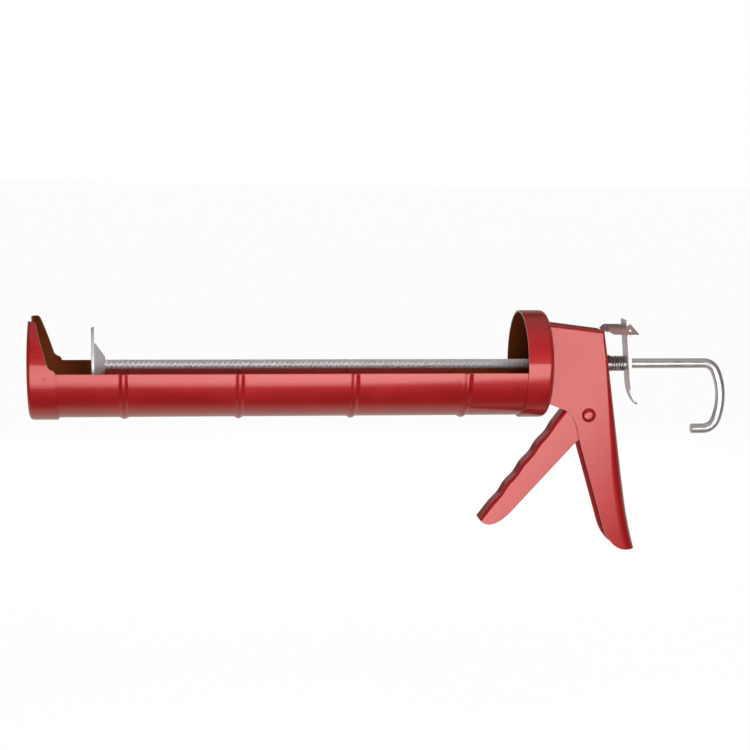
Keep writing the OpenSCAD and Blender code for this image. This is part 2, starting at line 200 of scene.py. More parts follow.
# ---------------------------------------------------------------- materials
def red_enamel():
    """Stoved metallic red enamel under a clear coat."""
    made, tree, shader = new_material("red_enamel")
    where = add(tree, "ShaderNodeTexCoord").outputs["Object"]
    cloud = noise(tree, where, 38, 3.0)
    flake = noise(tree, where, 2600, 2.0, 0.8)
    peel = noise(tree, where, 420, 2.0)
    dust = noise(tree, where, 900, 4.0, 0.7)
    colour = blend_colour(tree, ramp(tree, cloud, 0.35, 0.65, 0, 1), (0.36, 0.006, 0.009),
                          (0.41, 0.008, 0.012))
    glint = ramp(tree, flake, 0.56, 0.70, 0, 0.5)
    colour = blend_colour(tree, glint, colour, (0.55, 0.05, 0.05))
    speck = ramp(tree, dust, 0.66, 0.74, 0, 0.5)
    colour = blend_colour(tree, speck, colour, (0.20, 0.008, 0.010))
    tree.links.new(colour, shader.inputs["Base Color"])
    shader.inputs["Metallic"].default_value = 0.3
    tree.links.new(ramp(tree, cloud, 0.3, 0.7, 0.36, 0.46), shader.inputs["Roughness"])
    shader.inputs["Coat Weight"].default_value = 1.0
    tree.links.new(ramp(tree, dust, 0.3, 0.75, 0.05, 0.10), shader.inputs["Coat Roughness"])
    tree.links.new(bump(tree, flake, 0.00002), shader.inputs["Normal"])
    tree.links.new(bump(tree, peel, 0.00003), shader.inputs["Coat Normal"])
    return made


def painted_shade_enamel():
    """The enamel on the inner faces: matt, painted darker, and with a painted brown shade under the
    caps.
    """
    made, tree, shader = new_material("painted_shade_enamel")
    where = add(tree, "ShaderNodeTexCoord").outputs["Object"]
    cloud = noise(tree, where, 60, 4.0, 0.6)
    dust = noise(tree, where, 900, 4.0, 0.7)
    # Painted shade: brown under the caps and a darker red between them, standing in for the shade
    # inside the cradle and caps.
    brown = blend_colour(tree, ramp(tree, cloud, 0.35, 0.65, 0, 1), (0.15, 0.042, 0.010),
                         (0.18, 0.034, 0.011))
    red = blend_colour(tree, ramp(tree, cloud, 0.35, 0.65, 0, 1), (0.24, 0.028, 0.028),
                       (0.29, 0.030, 0.030))
    along = add(tree, "ShaderNodeSeparateXYZ", {0: where}).outputs["X"]
    behind_front_cap = ramp(tree, along, -0.280, -0.258, 0, 1)
    between_cap_shades = times(tree, behind_front_cap, ramp(tree, along, -0.06, -0.02, 1, 0))
    colour = blend_colour(tree, between_cap_shades, brown, red)
    tree.links.new(colour, shader.inputs["Base Color"])
    shader.inputs["Metallic"].default_value = 0.1
    shader.inputs["Specular IOR Level"].default_value = 0.05
    tree.links.new(ramp(tree, dust, 0.3, 0.75, 0.45, 0.60), shader.inputs["Roughness"])
    tree.links.new(bump(tree, dust, 0.00004), shader.inputs["Normal"])
    return made


def zinc_plate(name, rough, pale, metal, tint=(0.97, 0.95, 1.0)):
    """Zinc plating over drawn or pressed steel: fine blotches and faint drawing lines along X."""
    made, tree, shader = new_material(name)
    where = add(tree, "ShaderNodeTexCoord").outputs["Object"]
    drawn = add(tree, "ShaderNodeMapping", {"Vector": where, "Scale": (0.06, 1, 1)})
    lines = noise(tree, drawn.outputs["Vector"], 2400, 3.0, 0.6)
    cloud = noise(tree, where, 160, 4.0, 0.6)
    colour = blend_colour(tree, ramp(tree, cloud, 0.3, 0.7, 0, 1), [0.88 * pale * c for c in tint],
                          [pale * c for c in tint])
    tree.links.new(colour, shader.inputs["Base Color"])
    shader.inputs["Metallic"].default_value = metal
    roughness = ramp(tree, cloud, 0.3, 0.7, 0.85 * rough, 1.2 * rough)
    tree.links.new(roughness, shader.inputs["Roughness"])
    relief = bump(tree, cloud, 0.00001, bump(tree, lines, 0.000008))
    tree.links.new(relief, shader.inputs["Normal"])
    return made


def bare_steel():
    """Oiled spring steel and turned steel."""
    made, tree, shader = new_material("bare_steel")
    where = add(tree, "ShaderNodeTexCoord").outputs["Object"]
    cloud = noise(tree, where, 220, 4.0, 0.6)
    lines = noise(tree, where, 3000, 2.0)
    colour = blend_colour(tree, ramp(tree, cloud, 0.3, 0.7, 0, 1), (0.44, 0.42, 0.42),
                          (0.62, 0.60, 0.60))
    tree.links.new(colour, shader.inputs["Base Color"])
    shader.inputs["Metallic"].default_value = 1.0
    tree.links.new(ramp(tree, cloud, 0.3, 0.7, 0.22, 0.36), shader.inputs["Roughness"])
    tree.links.new(bump(tree, lines, 0.00002), shader.inputs["Normal"])
    return made


# The inner faces' enamel is painted darker and browner than red_enamel, as painted shade.
MATERIALS = {"red_enamel": red_enamel(), "painted_shade_enamel": painted_shade_enamel(),
             "zinc_plate": zinc_plate("zinc_plate", 0.34, 0.86, 0.85), "bare_steel": bare_steel(),
             "cut_zinc": zinc_plate("cut_zinc", 0.36, 0.92, 0.6),
             "dull_zinc": zinc_plate("dull_zinc", 0.45, 0.84, 0.5),
             # Zinc painted dark and pinkish brown: a painted reflection of the red handle, for the
             # release bracket.
             "zinc_painted_handle_reflection": zinc_plate("zinc_painted_handle_reflection", 0.38, 0.40, 0.7, (1.0, 0.60, 0.60))}


# ---------------------------------------------------------------- mesh helpers
def piece(name, points, faces, slot):
    """A closed mesh from points in millimetres, its faces turned outwards and its edges still
    sharp.
    """
    data = bpy.data.meshes.new(name)
    data.from_pydata([Vector(p) * MM for p in points], [], faces)
    mesh = bmesh.new()
    mesh.from_mesh(data)
    bmesh.ops.remove_doubles(mesh, verts=mesh.verts, dist=0.00001 * MM)
    bmesh.ops.dissolve_degenerate(mesh, edges=mesh.edges, dist=0.0001 * MM)
    bmesh.ops.recalc_face_normals(mesh, faces=mesh.faces)
    mesh.to_mesh(data)
    mesh.free()
    made = bpy.data.objects.new(name, data)
    bpy.context.scene.collection.objects.link(made)
    data.materials.append(MATERIALS[slot])
    return made


def bake(made):
    """Replaces a piece's mesh by what its modifiers make of it."""
    bpy.context.view_layer.update()
    shown = made.evaluated_get(bpy.context.evaluated_depsgraph_get())
    data = bpy.data.meshes.new_from_object(shown)
    made.modifiers.clear()
    made.data = data


def cut(made, *tools):
    """Takes the tools' shapes out of a piece."""
    for tool in tools:
        cutter = made.modifiers.new("cut", "BOOLEAN")
        cutter.operation = "DIFFERENCE"
        cutter.solver = "EXACT"
        cutter.object = tool
    bake(made)
    for tool in tools:
        bpy.data.objects.remove(tool)


def edges(made, width, angle=40):
    """Rounds a piece's sharp edges and shades it smoothly between them."""
    rounding = made.modifiers.new("edges", "BEVEL")
    rounding.width = width * MM
    rounding.segments = 2
    rounding.limit_method = "ANGLE"
    rounding.angle_limit = math.radians(angle)
    rounding.harden_normals = False
    made.data.shade_smooth()
    made.data.set_sharp_from_angle(angle=math.radians(angle))
    normals = made.modifiers.new("normals", "WEIGHTED_NORMAL")
    normals.keep_sharp = False
    normals.weight = 50


def line_inside(made, into=0):
    """Gives the faces that look at the rod's axis, or along it into a cup, the enamel with painted
    shade.
    """
    made.data.materials.append(MATERIALS["painted_shade_enamel"])
    for face in made.data.polygons:
        out = Vector((0, face.center[1], face.center[2]))
        floor = into * face.normal[0] > 0.9 and out.length < (CAP_R - 1.5 * CAP_SHEET) * MM
        if floor or face.normal.dot(out) < -0.3 * out.length:
            face.material_index = 1


def place(made, body, *nodes):
    """Rides a finished piece on its body, in place of its CAD nodes."""
    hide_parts(*nodes)
    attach(made, body)


def arc(centre, radius, start, end, steps):
    """A round arc of [x, z] points between two angles in degrees."""
    x, z = centre
    turns = [math.radians(start + (end - start) * i / steps) for i in range(steps + 1)]
    return [Vector((x + radius * math.cos(t), z + radius * math.sin(t))) for t in turns]


def curve(p, q, r, steps=12):
    """A smooth corner from p to r, pulled towards q."""
    shares = [i / steps for i in range(steps + 1)]
    p, q, r = Vector(p), Vector(q), Vector(r)
    return [(1 - t) ** 2 * p + 2 * t * (1 - t) * q + t * t * r for t in shares]


def grid(rows, columns, wrap_rows=False, wrap_columns=False):
    """Quads between rows of points."""
    found = []
    for i in range(rows if wrap_rows else rows - 1):
        for j in range(columns if wrap_columns else columns - 1):
            k = (i + 1) % rows
            m = (j + 1) % columns
            found.append((i * columns + j, k * columns + j, k * columns + m, i * columns + m))
    return found


def revolve(name, profile, slot, at=(0, 0, 0), axis="x", span=360, steps=128):
    """A closed profile of [along, radius] points turned round the X or Y axis, from the bottom."""
    whole = span == 360
    count = steps if whole else steps + 1
    points = []
    for i in range(count):
        turn = math.radians(span * (i / steps - 0.5))
        for along, radius in profile:
            low = (along, radius * math.sin(turn), -radius * math.cos(turn))
            points.append(Vector(at) + Vector(low if axis == "x" else (low[1], low[0], low[2])))
    faces = grid(count, len(profile), whole, True)
    if not whole:
        faces += [tuple(range(len(profile))), tuple(range(len(points) - len(profile), len(points)))]
    return piece(name, points, faces, slot)


def rod_tool(radius, start, end, at=(0, 0, 0), axis="x"):
    """A cylinder to cut with."""
    profile = [(start, 0), (start, radius), (end, radius), (end, 0)]
    return revolve("tool", profile, "bare_steel", at, axis, steps=48)


def cross_tool(radius, at):
    """A cylinder to cut with, right across the gun at [x, z]."""
    return rod_tool(radius, -20, 20, (at[0], 0, at[1]), "y")


def wall_tools():
    """Cutters for the bush's and the rivets' holes in the rear cap and the handle's front wall."""
    tools = [rod_tool(BUSH_BORE_R, BACK_X - 5, BACK_X + 5)]
    return tools + [rod_tool(RIVET_BORE_R, BACK_X - 5, BACK_X + 5, (0, 0, z))
                    for z in (-RIVET_Z, RIVET_Z)]


def prism_tool(outline, low, high, axis="y"):
    """A prism to cut with, from low to high along the X or Y axis."""
    count = len(outline)
    points = [(p[0], at, p[1]) if axis == "y" else (at, p[0], p[1])
              for at in (low, high) for p in outline]
    faces = [tuple(range(count)), tuple(range(count, 2 * count))]
    faces += [(i, (i + 1) % count, count + (i + 1) % count, count + i) for i in range(count)]
    return piece("tool", points, faces, "bare_steel")


def mitres(points, first, last):
    """The inward normals of an outline's points first..last, mitred, for a unit offset."""
    area = sum(a[0] * b[1] - a[1] * b[0] for a, b in zip(points, points[1:] + points[:1]))
    turn = 1 if area > 0 else -1
    found = []
    for i in range(first, last + 1):
        before = (points[i] - points[i - 1]).normalized() if i > first else None
        after = (points[i + 1] - points[i]).normalized() if i < last else None
        normals = [turn * Vector((-d[1], d[0])) for d in (before, after) if d]
        total = sum(normals, Vector((0, 0)))
        found.append(total / (1 + normals[0].dot(normals[1])) if len(normals) == 2 else total)
    return found


def folded(name, strip, free, width, inset, across, slot, steps=6, last=None):
    """Two flat plates joined by a strip that is folded over along their common edge.

    strip is the strip's outer face in side view, and free the plates' free edge from the strip's
    end back to its start. The fold is a quarter of an ellipse, inset[i] deep and across wide.
    last is the inward direction at the strip's end, where it isn't square to the strip.
    """
    outline = strip + free
    inward = mitres(outline, 0, len(strip) - 1)
    if last:
        inward[-1] = Vector(last)
    count = 2 * (steps + 1)
    points = []
    faces = []
    plates = []
    for skin in (0, SHEET):
        base = len(points)
        for p, n, depth in zip(strip, inward, inset):
            half = []
            for k in range(steps + 1):
                turn = math.radians(90 * k / steps)
                q = p + n * (skin + (depth - skin) * (1 - math.cos(turn)))
                half.append((q, width / 2 - across + (across - skin) * math.sin(turn)))
            points += [(q[0], -y, q[1]) for q, y in reversed(half)]
            points += [(q[0], y, q[1]) for q, y in half]
        faces += [tuple(base + v for v in f) for f in grid(len(strip), count)]
        for edge, y in ((0, skin - width / 2), (count - 1, width / 2 - skin)):
            start = len(points)
            points += [(p[0], y, p[1]) for p in free]
            plates.append([base + i * count + edge for i in range(len(strip))]
                          + list(range(start, len(points))))
    faces += [tuple(plate) for plate in plates]
    rows = len(strip)
    inner = len(points) // 2
    rims = [range(count), range((rows - 1) * count, rows * count)]
    rims += [plate[rows - 1:] + plate[:1] for plate in plates[:2]]
    for rim in rims:
        faces += [(a, b, b + inner, a + inner) for a, b in zip(rim, rim[1:])]
    return piece(name, points, faces, slot)


def channel(name, stations, sheet, slot, steps=5):
    """A strip whose two sides may be turned back.

    A station is its place, its inward normal, the half width, the fold's radius and angle in
    degrees, and the straight length beyond the fold.
    """
    points = []
    for skin in (0, sheet):
        for at, n, half, radius, fold, beyond in stations:
            flat = half - radius * math.sin(math.radians(fold))
            row = [(0.0, float(skin))]
            for k in range(steps + 1):
                turn = math.radians(fold * k / steps)
                row.append((flat + (radius - skin) * math.sin(turn),
                            skin + (radius - skin) * (1 - math.cos(turn))))
            turn = math.radians(fold)
            row.append((row[-1][0] + beyond * math.cos(turn), row[-1][1] + beyond * math.sin(turn)))
            row = [(-y, d) for y, d in reversed(row[1:])] + row
            points += [(at[0] + n[0] * d, y, at[1] + n[1] * d) for y, d in row]
    count = 2 * (steps + 2) + 1
    rows = len(stations)
    inner = rows * count
    faces = grid(rows, count) + [tuple(inner + v for v in f) for f in grid(rows, count)]
    rims = [range(count), range(inner - count, inner), range(0, inner, count),
            range(count - 1, inner, count)]
    for rim in rims:
        faces += [(a, b, b + inner, a + inner) for a, b in zip(rim, rim[1:])]
    return piece(name, points, faces, slot)


def sweep(name, rings, slot):
    """A closed skin through rings of points."""
    count = len(rings[0])
    points = [p for ring in rings for p in ring]
    faces = grid(len(rings), count, False, True)
    faces += [tuple(range(count)), tuple(range(len(points) - count, len(points)))]
    return piece(name, points, faces, slot)


def wire(name, route, radius, slot, sides=12):
    """A round wire along a route of points, with rounded ends."""
    rings = []
    across = None
    last = len(route) - 1
    for i, p in enumerate(route):
        along = (route[min(i + 1, last)] - route[max(i - 1, 0)]).normalized()
        if across is None:
            across = along.orthogonal().normalized()
        across = (across - along * across.dot(along)).normalized()
        other = along.cross(across)
        ring = []
        for k in range(sides):
            turn = math.tau * k / sides
            ring.append(radius * (math.cos(turn) * across + math.sin(turn) * other))
        if i in (0, last):
            out = along if i else -along
            caps = [[p + v * 0.6 + out * radius * 0.25 for v in ring], [p + v for v in ring]]
            rings += caps if i == 0 else caps[::-1]
        else:
            rings.append([p + v for v in ring])
    return sweep(name, rings, slot)


# ---------------------------------------------------------------- barrel and caps
def bead_rise(distance):
    if abs(distance) >= BEAD_W / 2:
        return 0
    return BEAD_H * (1 + math.cos(math.tau * distance / BEAD_W)) / 2


def make_cradle():
    ends = [side("cradle", "x", False), side("cradle", "x", True)]
    line = [(ends[0], 0)]
    for bead in range(BEADS - 1, -1, -1):
        middle = -BEAD_LAST - bead * BEAD_PITCH
        for i in range(17):
            d = BEAD_W * (i / 16 - 0.5)
            line.append((middle + d, bead_rise(d)))
    line.append((ends[1], 0))
    profile = [(x, BARREL_R + rise) for x, rise in line]
    profile += [(x, BARREL_R - BARREL_SHEET + rise) for x, rise in reversed(line)]
    half = math.degrees(math.acos(EDGE_DROP / BARREL_R))
    made = revolve("cradle_skin", profile, "red_enamel", span=2 * half, steps=96)
    line_inside(made)
    edges(made, 0.2)
    place(made, "frame", "cradle")


def cup(start, into, depth, corner):
    """The section of a pressed cup, closed at start and open at start + into * depth."""
    outer = arc((CAP_R - corner, corner), corner, -90, 0, 8)
    inner = arc((CAP_R - corner, corner), corner - CAP_SHEET, 0, -90, 8)
    lip = [Vector((CAP_R, depth)), Vector((CAP_R - CAP_SHEET, depth))]
    section = [Vector((0, 0))] + outer + lip + inner + [Vector((0, CAP_SHEET))]
    return [(start + into * p[1], p[0]) for p in section]


def make_front_cap():
    made = revolve("front_cap_skin", cup(FRONT_X, 1, FRONT_CAP_DEPTH, FRONT_CORNER), "red_enamel")
    rear = FRONT_X + FRONT_CAP_DEPTH
    shoulder = 3.5
    step_z = -2.2
    above = [Vector((rear + 5, 60)), Vector((rear + 5, step_z)), Vector((rear, step_z))]
    above += arc((rear - shoulder, step_z), shoulder, 5, 80, 8)
    above += [Vector((FRONT_X + 13, 2.7))]
    above += curve((FRONT_X + 6, EAR_Z - 4.2), (FRONT_X + 5, EAR_Z), (FRONT_X + 3.6, EAR_Z), 6)
    above += [Vector((FRONT_X - 5, EAR_Z)), Vector((FRONT_X - 5, 60))]
    slot = arc((0, 0), SLOT_R, 180, 360, 32)
    slot += [Vector((SLOT_R, CAP_R + 5)), Vector((-SLOT_R, CAP_R + 5))]
    cut(made, prism_tool(above, -1.5 * CAP_R, 1.5 * CAP_R),
        prism_tool(slot, FRONT_X - 5, FRONT_X + 7, "x"), *weld_tools(FRONT_X + 10.1, -5.2))
    line_inside(made, 1)
    edges(made, 0.15)
    place(made, "frame", "front_cap")


def weld_tools(x, z):
    """Two balls that leave a shallow spot-weld mark on each side of a cap."""
    ball = 3.2
    deep = 0.3
    out = math.sqrt(CAP_R ** 2 - z ** 2) + ball - deep
    profile = [tuple(p) for p in arc((0, 0), ball, 180, 0, 16)]
    return [revolve("tool", profile, "bare_steel", (x, s * out, z), steps=32) for s in (-1, 1)]


def make_rear_cap():
    made = revolve("rear_cap_skin", cup(BACK_X, -1, REAR_CAP_DEPTH, REAR_CORNER), "red_enamel")
    cut(made, *wall_tools())
    line_inside(made, -1)
    edges(made, 0.15)
    place(made, "frame", "rear_cap")


# ---------------------------------------------------------------- handle and trigger
def handle_top(x):
    return HANDLE_TOP_Z - 0.128 * (x - BACK_X)


def handle_rear(z):
    return 59.05 - 0.163 * z


def grip_share(z):
    """How far down the grip a height is, from 0 near the top to 1 near the bottom."""
    return min(max((5 - z) / 80, 0), 1)


def make_handle():
    """The folded sheet: front wall, top and spine are one strip between two plates."""
    corner = 2.4
    strip = [Vector((BACK_X, -25.4)), Vector((BACK_X, -10)), Vector((BACK_X, 10))]
    strip += curve((BACK_X, HANDLE_TOP_Z - corner), (BACK_X, HANDLE_TOP_Z),
                   (BACK_X + corner, handle_top(BACK_X + corner)), 6)
    strip += [Vector((BACK_X + 20, handle_top(BACK_X + 20)))]
    strip += curve((54, handle_top(54)), (handle_rear(22.4), handle_top(55.4)),
                   (handle_rear(SPINE_TOP_Z), SPINE_TOP_Z), 8)
    for i in range(1, 24):
        z = SPINE_TOP_Z - (SPINE_TOP_Z - GRIP_BEND_Z) * i / 24
        strip.append(Vector((handle_rear(z), z)))
    strip += curve((handle_rear(GRIP_BEND_Z), GRIP_BEND_Z), (77, -109), (81.6, -124.2), 10)
    free = curve((72.8, -124.1), (64, -122.5), (58.8, -109.1))
    free += curve((40.2, -48), (37.3, -32.2), (31.4, -30.2))
    inset = [2.2 + 5.8 * grip_share(z) if x > SPINE_X else 1.9 for x, z in strip]
    made = folded("handle_skin", strip, free, HANDLE_W, inset, HANDLE_FOLD, "red_enamel",
                  last=(-1, 0))
    widen_fold(made)
    eyelet_hole = rod_tool(4.63, 50, 70)
    cut(made, *wall_tools(), eyelet_hole, cross_tool(2.53, PIVOT))
    edges(made, 0.3, 50)
    place(made, "frame", "handle_shell")


def widen_fold(made):
    """Rounds the grip's spine across as well as inwards, more towards the bottom."""
    limit = HANDLE_W / 2
    flat_half = limit - HANDLE_FOLD
    for vertex in made.data.vertices:
        x, y, z = vertex.co / MM
        depth = handle_rear(z) + max(0, (GRIP_BEND_Z - z) * 0.12) - x
        if x > SPINE_X and depth < 9:
            narrow = flat_half - 5.2 * grip_share(z)
            reach = abs(y)
            if reach <= flat_half + 0.01:
                new = narrow * reach / flat_half
            else:
                new = narrow + (reach - flat_half) * (limit - narrow) / (limit - flat_half)
            vertex.co[1] = math.copysign(new, y) * MM


def on_trigger(u, n):
    """A point on the trigger: u along it from the pivot, n behind the pivot."""
    return PIVOT + u * TRIGGER_DOWN + n * TRIGGER_REAR


def groove(u):
    d = u - GROOVE_START
    if not 0 < d < GROOVES * GROOVE_PITCH:
        return 0
    return GROOVE_DEPTH * (1 - math.cos(math.tau * d / GROOVE_PITCH)) / 2


def make_trigger():
    fold = 2.7
    lean = math.degrees(TRIGGER_LEAN)
    stations = [-1 + (TRIGGER_TIP - 1) * i / 90 for i in range(91)]
    strip = [on_trigger(u, TRIGGER_FRONT + groove(u)) for u in stations]
    strip.append(on_trigger(TRIGGER_TIP - 1.4, TRIGGER_FRONT + 0.1))
    strip.append(on_trigger(TRIGGER_TIP - 0.9, TRIGGER_FRONT + 0.7))
    inset = [fold - groove(u) for u in stations] + [fold, fold - 0.6]
    free = [on_trigger(TRIGGER_TIP - 0.9, TRIGGER_FRONT + 3.6)]
    heel = on_trigger(TRIGGER_TIP - 3, -3)
    free += reversed(curve(on_trigger(83, -1), heel, on_trigger(TRIGGER_TIP - 1, -10.0)))
    free += [on_trigger(20, 4.8)]
    free += reversed(curve(on_trigger(-8, 4), on_trigger(-4, 8.6), on_trigger(4, 8)))
    free += reversed(arc(PAWL_AT, 5.4, 200 - lean, 20 - lean, 12))
    made = folded("trigger_skin", strip, free, TRIGGER_W, inset, 2.9, "red_enamel",
                  last=TRIGGER_REAR)
    cut(made, cross_tool(SLEEVE_BORE_R, PIVOT), cross_tool(2.03, PAWL_AT))
    edges(made, 0.25, 50)
    place(made, "trigger", "trigger")


def dome(base, height, radius, steps=16):
    """Half the section of a flattened dome that stands on base, as [along, radius] points."""
    shares = [math.sin(math.pi / 2 * i / steps) for i in range(steps + 1)]
    return [(base + height * (1 - share ** 4.5), radius * share) for share in shares]


def make_trigger_rivet():
    half = HANDLE_W / 2
    head = dome(half, 2.2, 4.7)
    profile = head + [(half, 2.5), (-half, 2.5)] + [(-a, r) for a, r in reversed(head)]
    made = revolve("trigger_rivet_head", profile, "red_enamel", (PIVOT[0], 0, PIVOT[1]), "y",
                   steps=64)
    edges(made, 0.25)
    place(made, "frame", "trigger_rivet")


# ---------------------------------------------------------------- rod and plunger
def rod_ring(at, turn, radius, height=None):
    """One ring round the rod, cut flat at height on its toothed side.

    at is the ring's middle, and turn how far the rod has bent down there.
    """
    height = radius if height is None else height
    side_turn = min(math.asin(min(height / radius, 1)), math.radians(78))
    half = radius * math.cos(side_turn)
    flat_steps = 8
    round_steps = 30
    ring = []
    for k in range(flat_steps):
        y = half * (1 - 2 * k / flat_steps)
        ring.append((y, min(math.sqrt(radius ** 2 - y ** 2), height)))
    for k in range(round_steps):
        angle = math.pi - side_turn + (math.pi + 2 * side_turn) * k / round_steps
        ring.append((radius * math.cos(angle), radius * math.sin(angle)))
    up = Vector((math.sin(turn), 0, math.cos(turn)))
    far = Vector((0, 1, 0))
    high = math.cos(TEETH_TURN) * up - math.sin(TEETH_TURN) * far
    wide = math.cos(TEETH_TURN) * far + math.sin(TEETH_TURN) * up
    return [Vector((at[0], 0, at[1])) + wide * y + high * z for y, z in ring]


def make_rod():
    nose = side("ratchet_rod", "x", False)
    rings = [rod_ring((nose, 0), 0, PEEN_R), rod_ring((nose + PEEN_T, 0), 0, JOURNAL_R)]
    rings += [rod_ring((DISC_X, 0), 0, JOURNAL_R), rod_ring((DISC_X + 0.08, 0), 0, ROD_R)]
    tip = ROD_R - TOOTH_TIP_DROP
    root = ROD_R - TOOTH_DEPTH
    first, end = TEETH_X
    count = int((end - first) / TOOTH_PITCH)
    rings.append(rod_ring((first - 0.01, 0), 0, ROD_R))
    for i in range(count):
        rings.append(rod_ring((first + i * TOOTH_PITCH + 0.01, 0), 0, ROD_R, root))
        rings.append(rod_ring((first + (i + 1) * TOOTH_PITCH - 0.12, 0), 0, ROD_R, tip))
    rings.append(rod_ring((first + count * TOOTH_PITCH + 0.03, 0), 0, ROD_R))
    rings.append(rod_ring((110, 0), 0, ROD_R))
    at = Vector((BEND_X, 0))
    turned = 0
    steps = 14
    for radius, turn in zip((BEND_R, BOW_R, BEND_R), TURNS):
        for i in range(steps + 1):
            angle = math.radians(turned + turn * i / steps)
            begin = math.radians(turned)
            shift = Vector((math.sin(angle) - math.sin(begin),
                            math.cos(angle) - math.cos(begin)))
            if i or not turned:
                rings.append(rod_ring(at + radius * shift, angle, ROD_R))
        at = at + radius * shift
        turned += turn
    for step, radius in ((0.5, ROD_R), (HOOK_STUB - 0.5, ROD_R), (HOOK_STUB, ROD_R - 0.5)):
        rings.append(rod_ring(at - Vector((step, 0)), math.pi, radius))
    made = sweep("push_rod", rings, "zinc_plate")
    made.data.materials.append(MATERIALS["cut_zinc"])
    for face in made.data.polygons:
        face.material_index = int(face.center[0] < end * MM)
    made.data.shade_smooth()
    made.data.set_sharp_from_angle(angle=math.radians(30))
    place(made, "rod", "ratchet_rod", "rod_hook")


def tilt(made, angle, x):
    """Tilts a loosely staked piece a little, round an upright line through the rod's axis."""
    centre = Matrix.Translation((x * MM, 0, 0))
    made.data.transform(centre @ Matrix.Rotation(math.radians(angle), 4, "Z") @ centre.inverted())


def make_plunger():
    x = DISC_X - DISC_T
    rim = 1.1
    bore = 2.55
    profile = [(0, bore), (0, DISC_R - 0.5), (0.15, DISC_R - 0.15), (0.5, DISC_R), (DISC_T, DISC_R),
               (DISC_T, DISC_R - rim), (DISC_T - 0.5, DISC_R - rim - 0.6), (DISC_T - 0.5, 15.5),
               (DISC_T, 14.6), (DISC_T, bore)]
    disc = revolve("plunger_disc_face", [(x + a, r) for a, r in profile], "dull_zinc")
    tilt(disc, DISC_TILT, DISC_X)
    edges(disc, 0.12, 30)
    place(disc, "plunger", "plunger_disc")
    depth = 6.8
    profile = [(0, 12.1), (0, 13.8)]
    profile += [(p[1], p[0]) for p in curve((13.8, 0), (13.6, 0.7), (12.6, 1.4), 6)]
    profile += [(p[1], p[0]) for p in curve((6.5, 5.8), (5.4, depth), (4, depth), 6)]
    profile += [(depth, 3.25), (depth - 1.3, 3.25), (depth - 1.6, 4.4)]
    cone = revolve("plunger_cone_cup", [(DISC_X + a, r) for a, r in profile], "dull_zinc")
    tilt(cone, DISC_TILT, DISC_X)
    edges(cone, 0.12, 30)
    place(cone, "plunger", "plunger_cone")


# ---------------------------------------------------------------- release lever
def lever_x(z):
    """The front face of the lever's web at height z."""
    return 69.6 + (LEVER_TOP_Z - z) * math.tan(LEVER_LEAN)


def make_lever():
    thumb_r = 22
    thumb_turn = 39
    slim = 5
    knee = -14
    lean = math.degrees(LEVER_LEAN)
    rear = Vector((math.cos(LEVER_LEAN), math.sin(LEVER_LEAN)))
    fold = 1.3
    deep = [(LEVER_TOP_Z, fold), (28.3, 1.9), (27, 3.4), (25, 3.8), (22, 4.0), (19, 3.7), (16, 3.1),
            (8, 2.7), (0, 2.3), (-8, 2.0), (-12.4, 1.7)]
    stations = [(Vector((lever_x(z), z)), rear, LEVER_W / 2, fold, 90, d - fold) for z, d in deep]
    centre = Vector((lever_x(knee), knee)) + thumb_r * rear
    for i in range(17):
        share = i / 16
        turn = math.radians(180 + lean + thumb_turn * share)
        inward = -Vector((math.cos(turn), math.sin(turn)))
        lost = max(0, share - 0.8) / 0.2
        half = slim + (LEVER_W / 2 - slim) * max(0, 1 - 4 * share) ** 2 - 1.9 * lost ** 2
        angle = 90 * max(0, 1 - 5 * share)
        stations.append((centre - thumb_r * inward, inward, half, fold, angle, 0.3 * (angle > 80)))
    made = channel("release_lever_skin", stations, LEVER_SHEET, "dull_zinc")
    cut(made, rod_tool(ROD_R + 0.75, 60, 90), cross_tool(0.95, LEVER_PIN_AT))
    edges(made, 0.2, 50)
    place(made, "lever", "release_lever")


def make_bracket():
    """A channel open downwards, its arms splayed a little, with a tongue under the handle's top."""
    front = 55.9
    top = side("release_bracket", "z", True) - 1.1
    splay = math.tan(math.radians(13))
    strip = [Vector((front, 22.7))] + curve((57.6, top - 0.8), (58.4, top), (59.6, top), 4)
    strip += [Vector((x, top)) for x in (62, 65, 68.6)]
    free = [Vector(p) for p in ((70.6, top), (72.2, top + 1.1), (73, top + 1), (78.1, 20.6),
                                (77.7, 20.2), (61.4, 20.2), (59.4, 21.2), (57.6, 22.3))]
    # Its dark pinkish-brown zinc is a painted reflection of the red handle.
    made = folded("release_bracket_skin", strip, free, 2 * side("release_bracket", "y", True),
                  [1.5] * len(strip), 1.5, "zinc_painted_handle_reflection")
    for vertex in made.data.vertices:
        vertex.co[1] += math.copysign(max(0, top * MM - vertex.co[2]) * splay, vertex.co[1])
    cut(made, cross_tool(0.93, LEVER_PIN_AT))
    edges(made, 0.2, 50)
    place(made, "frame", "release_bracket")
    face = handle_top(front) - SHEET - 0.1
    path = [(44, face), (50, face), (front - 0.1, face), (front + 0.2, 22.9)]
    up = Vector((0, -1))
    stations = [(Vector(p), up, 6, 1.5, 0, 0) for p in path]
    tongue = channel("bracket_tongue", stations, SHEET, "zinc_plate")
    edges(tongue, 0.2, 50)
    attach(tongue, "frame")


# ---------------------------------------------------------------- springs
def make_release_spring():
    start = side("release_spring", "x", False)
    end = side("release_spring", "x", True)
    gauge = 1.2
    mean = side("release_spring", "y", True) - gauge / 2
    turns = 7
    route = []
    steps = 24
    for i in range(turns * steps + 1):
        turn = i / steps
        share = min(max((turn - 0.75) / (turns - 1.5), 0), 1)
        x = start + gauge / 2 + (end - start - gauge) * share
        angle = math.tau * turn
        route.append(Vector((x, mean * math.sin(angle), mean * math.cos(angle))))
    made = wire("release_spring_coil", route, gauge / 2, "bare_steel")
    made.data.shade_smooth()
    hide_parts("release_spring")
    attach(made, "frame")
    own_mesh(made)


